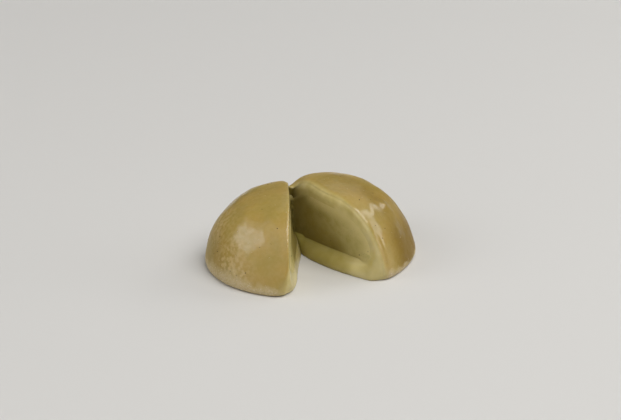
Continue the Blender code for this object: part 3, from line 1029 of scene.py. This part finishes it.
# %% The tree that sows lumps over a surface
def sown_lumps_tree():
    tree, given, result = geometry_tree(
        "sown lumps",
        {
            "Density": ("Float", 1e6),
            "Smallest": ("Float", 0.0001),
            "Largest": ("Float", 0.0003),
            "Flatness": ("Float", 0.7),
            "Sunk": ("Float", 0.0),
            "Facets": ("Int", 1),
            "Seed": ("Int", 1),
            "Material": ("Material", None),
        },
    )
    size = given.outputs
    share = add_node(tree, "GeometryNodeInputNamedAttribute", {"Name": "sow_share"}, data_type="FLOAT")
    thrown = add_node(
        tree,
        "GeometryNodeDistributePointsOnFaces",
        {
            "Mesh": size["Geometry"],
            "Density": sum_of(tree, "MULTIPLY", share.outputs[0], size["Density"]),
            "Seed": size["Seed"],
        },
        distribute_method="RANDOM",
    )
    bare = add_node(
        tree,
        "GeometryNodeRemoveAttribute",
        {"Geometry": thrown.outputs["Points"], "Name": "*_share"},
        pattern_mode="WILDCARD",
    )
    lump = add_node(tree, "GeometryNodeMeshIcoSphere", {"Radius": 0.5, "Subdivisions": size["Facets"]})

    def chance(kind, low, high, salt):
        picked = add_node(tree, "FunctionNodeRandomValue", data_type=kind)
        sockets = [s for s in picked.inputs if s.enabled]
        for socket, value in zip(sockets, (low, high)):
            if isinstance(value, bpy.types.NodeSocket):
                tree.links.new(value, socket)
            else:
                socket.default_value = value
        picked.inputs["Seed"].default_value = salt
        return next(s for s in picked.outputs if s.enabled)

    long_ways = chance("FLOAT_VECTOR", (0.6, 0.6, 0.6), (1.3, 1.0, 1.0), 3)
    flattened = add_node(tree, "ShaderNodeCombineXYZ", {"X": 1.0, "Y": 1.0, "Z": size["Flatness"]})
    sides = {0: long_ways, 1: flattened.outputs[0]}
    shape = add_node(tree, "ShaderNodeVectorMath", sides, operation="MULTIPLY")
    sized = {0: shape.outputs[0], "Scale": chance("FLOAT", size["Smallest"], size["Largest"], 5)}
    scale = add_node(tree, "ShaderNodeVectorMath", sized, operation="SCALE")
    turn = {"Angle": chance("FLOAT", 0.0, 2 * math.pi, 7)}
    about = add_node(tree, "FunctionNodeAxisAngleToRotation", turn)
    turns = {0: thrown.outputs["Rotation"], 1: about.outputs[0]}
    spun = add_node(tree, "FunctionNodeRotateRotation", turns, rotation_space="LOCAL")
    placed = add_node(
        tree,
        "GeometryNodeInstanceOnPoints",
        {
            "Points": bare.outputs[0],
            "Instance": lump.outputs["Mesh"],
            "Rotation": spun.outputs[0],
            "Scale": scale.outputs[0],
        },
    )
    sink = add_node(tree, "ShaderNodeCombineXYZ", {"Z": sum_of(tree, "MULTIPLY", size["Sunk"], -1.0)})
    lowered = {"Instances": placed.outputs[0], "Translation": sink.outputs[0]}
    sunk = add_node(tree, "GeometryNodeTranslateInstances", lowered)
    real = add_node(tree, "GeometryNodeRealizeInstances", {"Geometry": sunk.outputs[0]})
    painted = add_node(
        tree, "GeometryNodeSetMaterial", {"Geometry": real.outputs[0], "Material": size["Material"]}
    )
    tree.links.new(painted.outputs[0], result.inputs[0])
    return tree


sown_lumps = sown_lumps_tree()


def sown(name, hosts, **inputs):
    """One piece with the lumps sown over these hosts, each given as (object, share at each point)."""
    meshes = []
    for host, share in hosts:
        copy = new_object(name + "_host", host.data.copy())
        store(copy, "sow_share", share)
        meshes.append(plain_mesh(with_tree(copy, sown_lumps, **inputs), name))
    lumps = bmesh.new()
    for made in meshes:
        lumps.from_mesh(made.data)
    first = meshes[0]
    lumps.to_mesh(first.data)
    lumps.free()
    for other in meshes[1:]:
        bpy.data.objects.remove(other)
    first.data.materials.clear()  # the lumps' own empty slot goes, and the finish becomes the only one
    first.data.materials.append(inputs["material"])
    first.data.polygons.foreach_set("material_index", [0] * len(first.data.polygons))
    print(name + ":", len(first.data.polygons), "faces")
    return first


# %% [markdown]
# ## Starch and tea
#
# The loose starch is dry and white, in crumbs of a tenth to a quarter of a millimetre. Nearly all of
# it lies in the band round the foot. The tea is whole leaf, ground coarsely: a few dark flecks lie
# in the skin and fewer in the paste, flush with the surface.

# %% Sow the starch grains
def plain_finish(name, pale, dark, wavelength, roughness):
    finish, tree, shader = new_finish(name, pale, roughness)
    tree.links.new(blended(tree, noise_in(tree, wavelength), pale, dark), shader.inputs["Base Color"])
    return finish


STARCH_PALE = screen_colour(228, 216, 192)
STARCH_DARK = screen_colour(206, 190, 158)
IN_BAND = 0.35  # share of the grains in the band,
RIGHT_LINE = 1.4  # in the line right at the foot,
LEFT_LINE = 0.6
LINE_HEIGHT = 0.0014
ON_SKIN = 0.003  # and on the bare skin above

not_under = ramp(height, 0.0003, 0.0007)  # none on the flat underside
foot_line = (RIGHT_LINE + (LEFT_LINE - RIGHT_LINE) * to_left) * hill(height, LINE_HEIGHT)
grain_share = starch_share**2 * (IN_BAND + foot_line) + ON_SKIN * (1 - cut_share)
starch_finish = plain_finish("starch_finish", STARCH_PALE, STARCH_DARK, 0.0006, 0.9)
starch = sown(
    "starch_grains",
    [(dough, grain_share * not_under)],
    density=9e6,
    smallest=0.00009,
    largest=0.00026,
    flatness=0.7,
    sunk=0.00002,
    seed=4,
    material=starch_finish,
)

# %% Sow the flecks of tea leaf
LEAF = screen_colour(64, 50, 22)
LEAF_DARK = screen_colour(44, 34, 14)
UNDER_STARCH = 0.7  # share of the flecks that the starch hides
ON_PASTE = 0.5  # flecks on the cut paste for each one on as much skin
FACE_DEPTH = 0.0008  # they lie on paste that is this close to the cut

leaf_finish = plain_finish("tea_leaf_finish", LEAF, LEAF_DARK, 0.0004, 0.6)
on_skin = (1 - cut_share) * (1 - UNDER_STARCH * starch_share) * not_under
on_cut_paste = ON_PASTE * hill(filling_closed[:, 0], FACE_DEPTH)
flecks = sown(
    "tea_flecks",
    [(dough, on_skin), (filling, on_cut_paste)],
    density=1.1e4,
    smallest=0.00020,
    largest=0.00056,
    flatness=0.35,
    sunk=0.00003,
    seed=9,
    material=leaf_finish,
)

# %% [markdown]
# ## The table, the light and the camera
#
# The cake lies on a plain pale table. Large soft lights suit moist food: one wide light above and in
# front gives most of the brightness, one on the left fills the shade, and one comes from behind. Three
# small light boxes draw the soft-edged shine on the skin: one on the left half, and a tall one and a
# low one on the right half. A long lens from a metre and a half away keeps the shape true.

# %% The table
TABLE_SIZE = 6.0
half = 0.5 * TABLE_SIZE
table_corners = [(-half, -half, 0), (half, -half, 0), (half, half, 0), (-half, half, 0)]
table_mesh = bpy.data.meshes.new("table")
table_mesh.from_pydata(table_corners, [], [(0, 1, 2, 3)])
table = new_object("table", table_mesh)
table_mesh.materials.append(new_finish("table_finish", screen_colour(218, 216, 212), 0.8)[0])
print("table, m:", TABLE_SIZE)

# %% The lights
CAKE_MIDDLE = Vector((0.0, 0.0, 0.012))


def soft_light(name, toward, distance, size, watts, upward=(0.0, 0.0, 1.0)):
    """A rectangular light that stands this way and this far from the cake, and faces it."""
    lamp = bpy.data.lights.new(name, "AREA")
    lamp.shape = "RECTANGLE"
    lamp.size, lamp.size_y = size
    lamp.energy = watts
    light = bpy.data.objects.new(name, lamp)
    toward = Vector(toward).normalized()
    light.location = CAKE_MIDDLE + distance * toward
    sideways = Vector(upward).cross(toward).normalized()
    light.rotation_euler = Matrix((sideways, toward.cross(sideways), toward)).transposed().to_euler()
    bpy.context.scene.collection.objects.link(light)


WIDE_AWAY = 1.8  # distance of the wide lights from the cake
BOX_AWAY = 0.9
ASKEW = (0.162, 0.378, 0.912)  # the boxes on the right are tilted sideways: this is their upward way
soft_light("main_light", (0.170, -0.430, 0.885), WIDE_AWAY, (1.5, 1.4), 25.0)
soft_light("fill_light", (-0.784, -0.236, 0.574), WIDE_AWAY, (3.0, 2.3), 11.0)
soft_light("back_light", (0.566, 0.423, 0.707), WIDE_AWAY, (2.0, 1.6), 2.5)
soft_light("left_box", (-0.821, 0.123, 0.558), BOX_AWAY, (0.46, 0.35), 0.80)
soft_light("right_box", (0.840, -0.218, 0.496), BOX_AWAY, (0.29, 0.98), 1.8, ASKEW)
soft_light("corner_box", (0.849, 0.204, 0.477), BOX_AWAY, (0.38, 0.18), 0.43, ASKEW)
print("lights:", [lamp.name for lamp in bpy.data.lights])

room = bpy.data.worlds.new("room")
room.use_nodes = True
glow = room.node_tree.nodes["Background"].inputs
glow["Color"].default_value = (1.0, 1.0, 1.0, 1.0)
glow["Strength"].default_value = 0.04
bpy.context.scene.world = room
bpy.context.scene.view_settings.view_transform = "Standard"

# %% The camera
AZIMUTH = math.radians(-23.23)  # from straight in front, towards the right half
ELEVATION = math.radians(24.29)
DISTANCE = 1.54
LOOK_AT = Vector((0.00139, 0.00444, 0.01575))
LENS = 268.25

lens = bpy.data.cameras.new("camera")
lens.sensor_width = 36.0
lens.lens = LENS
lens.clip_start = 0.01
camera = bpy.data.objects.new("camera", lens)
level = math.cos(ELEVATION)
out = Vector((math.sin(AZIMUTH) * level, -math.cos(AZIMUTH) * level, math.sin(ELEVATION)))
camera.location = LOOK_AT + DISTANCE * out
camera.rotation_euler = out.to_track_quat("Z", "Y").to_euler()
bpy.context.scene.collection.objects.link(camera)
bpy.context.scene.camera = camera
print("lens, mm:", LENS, "at", DISTANCE, "m")

# %% Hang the pieces from one root, and hide the measured dough and filling
for piece, slot in (
    (dough, "rice_dough"),
    (filling, "green_tea_paste"),
    (starch, "starch"),
    (flecks, "tea_leaf"),
):
    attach(piece, "root")
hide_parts("dough")
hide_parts("filling")
